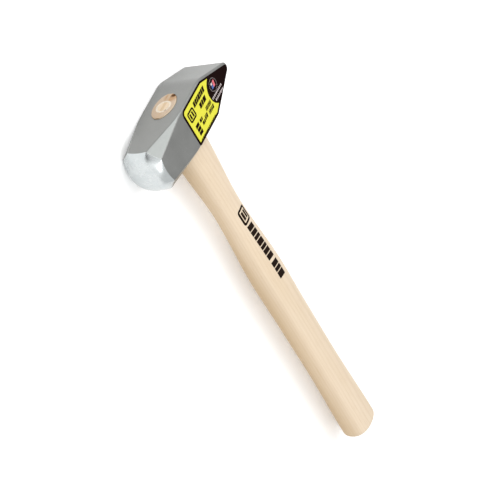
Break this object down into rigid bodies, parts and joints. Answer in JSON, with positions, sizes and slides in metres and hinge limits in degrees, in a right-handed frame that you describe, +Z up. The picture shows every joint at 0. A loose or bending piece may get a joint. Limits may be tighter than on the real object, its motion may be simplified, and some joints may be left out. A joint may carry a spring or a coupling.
{
  "type": "cross peen hammer",
  "caption": "Heavy hand hammer with an octagonal polished striking face, a wedge-shaped cross peen, a wooden handle with swells and a pointed label on one cheek.",
  "frame": {"origin": "on the cheek that the hammer lies on, directly under the centre of the eye", "axes": "+X along the head towards the peen, +Y up the handle towards the open top of the eye, +Z up, out of the cheek that carries the label"},
  "size_m": [0.1318, 0.3811, 0.0395],
  "materials": {
    "forged_steel": "satin grey forged steel, ground bright on the bevel and the crowned face",
    "hickory": "clear-lacquered pale hickory",
    "wedge_wood": "bare hardwood",
    "ring_steel": "plain turned steel",
    "label_vinyl": "yellow and black printed vinyl"
  },
  "bodies": {
    "root": {"head": "forged_steel", "handle": "hickory", "eye_wedge": "wedge_wood", "ring_wedge": "ring_steel", "cheek_label": "label_vinyl"}
  },
  "joints": []
}
